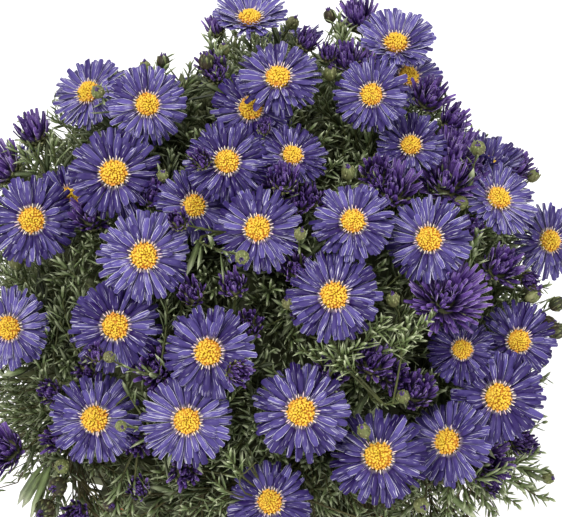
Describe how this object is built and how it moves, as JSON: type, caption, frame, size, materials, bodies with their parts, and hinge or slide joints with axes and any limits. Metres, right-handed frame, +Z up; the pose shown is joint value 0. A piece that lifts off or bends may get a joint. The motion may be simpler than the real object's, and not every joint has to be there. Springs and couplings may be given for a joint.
{
  "type": "potted cushion aster",
  "caption": "Dense rounded mound of blue-violet daisy-like blooms with yellow discs on leafy green stems, growing in a plain round tapered clay pot.",
  "frame": {"origin": "middle of the pot's flat underside, on the axis of the pot and of the mound", "axes": "+Z up along the pot's axis; -Y towards the viewer of the picture, +X to the viewer's right"},
  "size_m": [0.3015, 0.3208, 0.3814],
  "materials": {
    "clay": "matte, unglazed, finely grained",
    "compost": "rough, crumbly",
    "foliage": "satin, slightly downy",
    "petals": "matte, finely streaked",
    "disc": "matte, granular"
  },
  "bodies": {
    "root": {"pot": "clay", "compost": "compost", "leafy_stem_1": "foliage", "leafy_stem_2": "foliage", "leafy_stem_3": "foliage", "leafy_stem_4": "foliage", "leafy_stem_5": "foliage", "leafy_stem_6": "foliage", "bloom_01": "petals", "bloom_02": "petals", "bloom_03": "petals", "bloom_04": "petals", "bloom_05": "petals", "bloom_06": "petals", "bloom_07": "petals", "bloom_08": "petals", "bloom_09": "petals", "bloom_10": "petals", "bloom_11": "petals", "bloom_12": "petals", "bloom_13": "petals", "bloom_14": "petals", "bloom_15": "petals", "bloom_16": "petals", "bloom_17": "petals", "bloom_18": "petals", "bloom_19": "petals", "bloom_20": "petals", "bloom_21": "petals", "bloom_22": "petals", "bloom_23": "petals", "bloom_24": "petals", "bloom_25": "petals", "bloom_26": "petals", "bloom_27": "petals", "bloom_28": "petals", "bloom_29": "petals", "bloom_30": "petals", "bloom_31": "petals", "bloom_32": "petals", "bloom_33": "petals", "bloom_34": "petals", "bloom_35": "petals", "bloom_36": "petals", "bloom_37": "petals", "bloom_38": "petals", "bloom_39": "petals", "bloom_40": "petals", "bloom_41": "petals", "bloom_42": "petals", "bloom_43": "petals", "bloom_44": "petals", "bloom_45": "petals", "bloom_46": "petals", "bloom_47": "petals", "bloom_48": "petals", "bloom_49": "petals", "bloom_50": "petals", "bloom_51": "petals", "bloom_52": "petals"}
  },
  "joints": []
}
